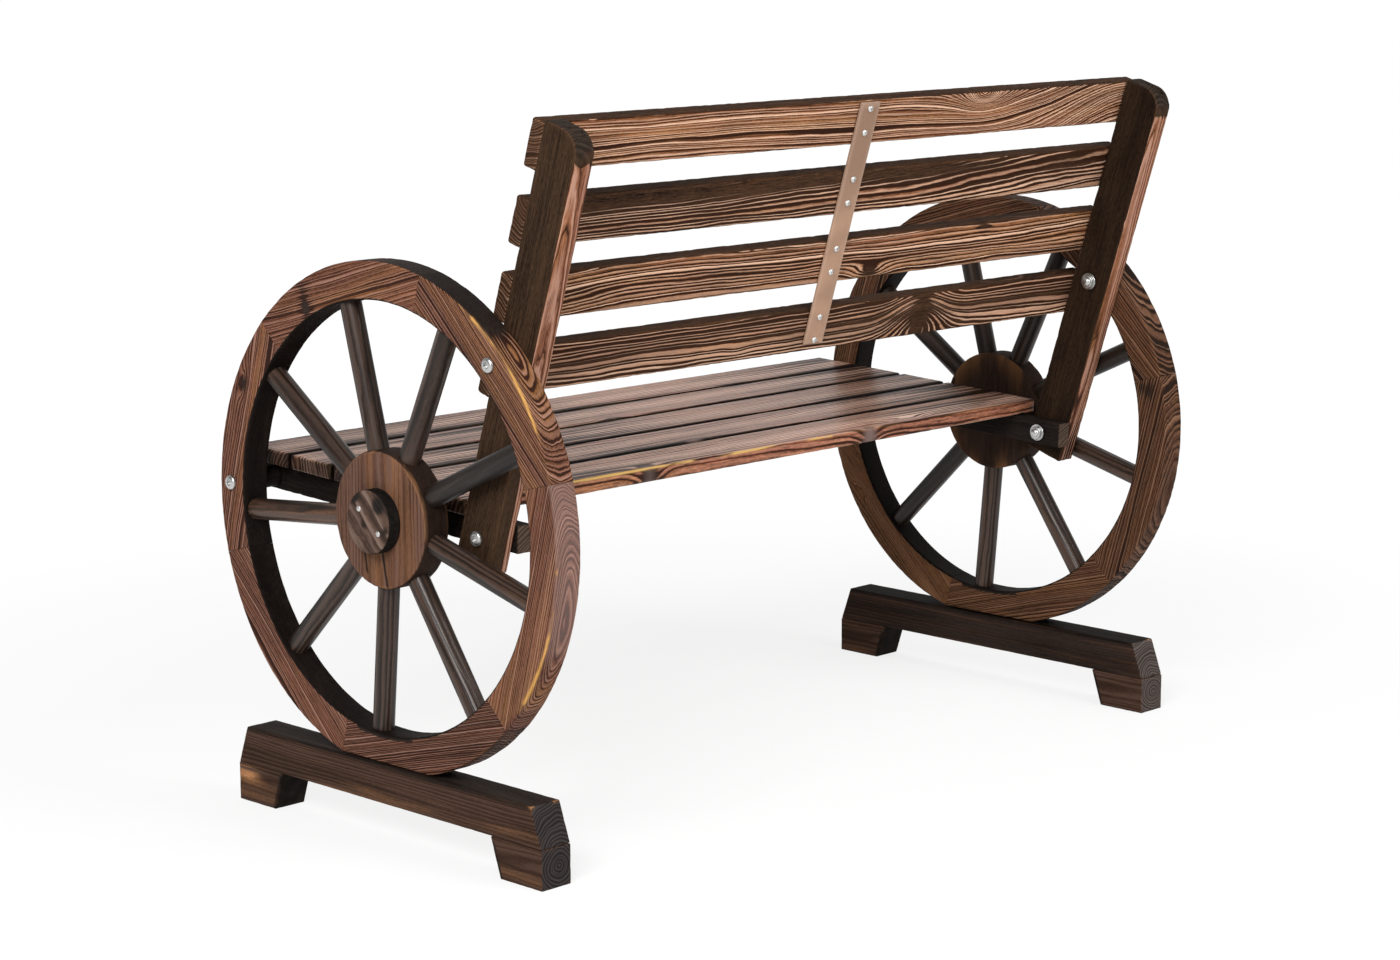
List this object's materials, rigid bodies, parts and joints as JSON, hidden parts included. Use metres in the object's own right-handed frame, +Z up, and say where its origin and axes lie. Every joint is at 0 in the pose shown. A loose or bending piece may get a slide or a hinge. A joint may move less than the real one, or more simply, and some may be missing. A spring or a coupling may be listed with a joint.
{
  "type": "wagon wheel bench",
  "caption": "Rustic wooden garden bench: spoked wagon wheels on low stands form the ends, joined by a slatted seat on tilted rails and a leaning slatted back with a steel strap.",
  "frame": {"origin": "on the floor, under the middle of the bench's length and depth", "axes": "+Z up, +X along the bench towards the sitter's left, +Y towards the back; the seat faces -Y"},
  "size_m": [1.0606, 0.548, 0.77],
  "materials": {
    "rim_wood": "charred and brushed softwood, matt",
    "spoke_wood": "charred turned softwood, satin",
    "hub_wood": "charred turned softwood, matt",
    "cap_wood": "charred turned softwood, patchy, matt",
    "stand_wood": "heavily charred softwood, matt",
    "post_wood": "charred and brushed softwood, matt",
    "rail_wood": "heavily charred softwood, matt",
    "seat_wood": "charred, sanded and oiled softwood, satin",
    "back_wood": "charred and brushed softwood, matt",
    "strap_paint": "brown paint on flat steel, matt",
    "zinc": "bright zinc plating"
  },
  "bodies": {
    "root": {"left_felloe_1": "rim_wood", "left_felloe_2": "rim_wood", "left_felloe_3": "rim_wood", "left_felloe_4": "rim_wood", "left_felloe_5": "rim_wood", "left_felloe_6": "rim_wood", "right_felloe_1": "rim_wood", "right_felloe_2": "rim_wood", "right_felloe_3": "rim_wood", "right_felloe_4": "rim_wood", "right_felloe_5": "rim_wood", "right_felloe_6": "rim_wood", "left_spoke_1": "spoke_wood", "left_spoke_2": "spoke_wood", "left_spoke_3": "spoke_wood", "left_spoke_4": "spoke_wood", "left_spoke_5": "spoke_wood", "left_spoke_6": "spoke_wood", "left_spoke_7": "spoke_wood", "left_spoke_8": "spoke_wood", "left_spoke_9": "spoke_wood", "right_spoke_1": "spoke_wood", "right_spoke_2": "spoke_wood", "right_spoke_3": "spoke_wood", "right_spoke_4": "spoke_wood", "right_spoke_5": "spoke_wood", "right_spoke_6": "spoke_wood", "right_spoke_7": "spoke_wood", "right_spoke_8": "spoke_wood", "right_spoke_9": "spoke_wood", "left_hub": "hub_wood", "right_hub": "hub_wood", "left_hub_cap": "cap_wood", "right_hub_cap": "cap_wood", "left_stand_beam": "stand_wood", "left_front_foot": "stand_wood", "left_rear_foot": "stand_wood", "right_stand_beam": "stand_wood", "right_front_foot": "stand_wood", "right_rear_foot": "stand_wood", "left_back_post": "post_wood", "right_back_post": "post_wood", "left_seat_rail": "rail_wood", "right_seat_rail": "rail_wood", "seat_slat_1": "seat_wood", "seat_slat_2": "seat_wood", "seat_slat_3": "seat_wood", "seat_slat_4": "seat_wood", "seat_slat_5": "seat_wood", "back_slat_1": "back_wood", "back_slat_2": "back_wood", "back_slat_3": "back_wood", "back_slat_4": "back_wood", "back_strap": "strap_paint", "left_front_bolt": "zinc", "left_upper_post_bolt": "zinc", "left_lower_post_bolt": "zinc", "right_front_bolt": "zinc", "right_upper_post_bolt": "zinc", "right_lower_post_bolt": "zinc"}
  },
  "joints": []
}
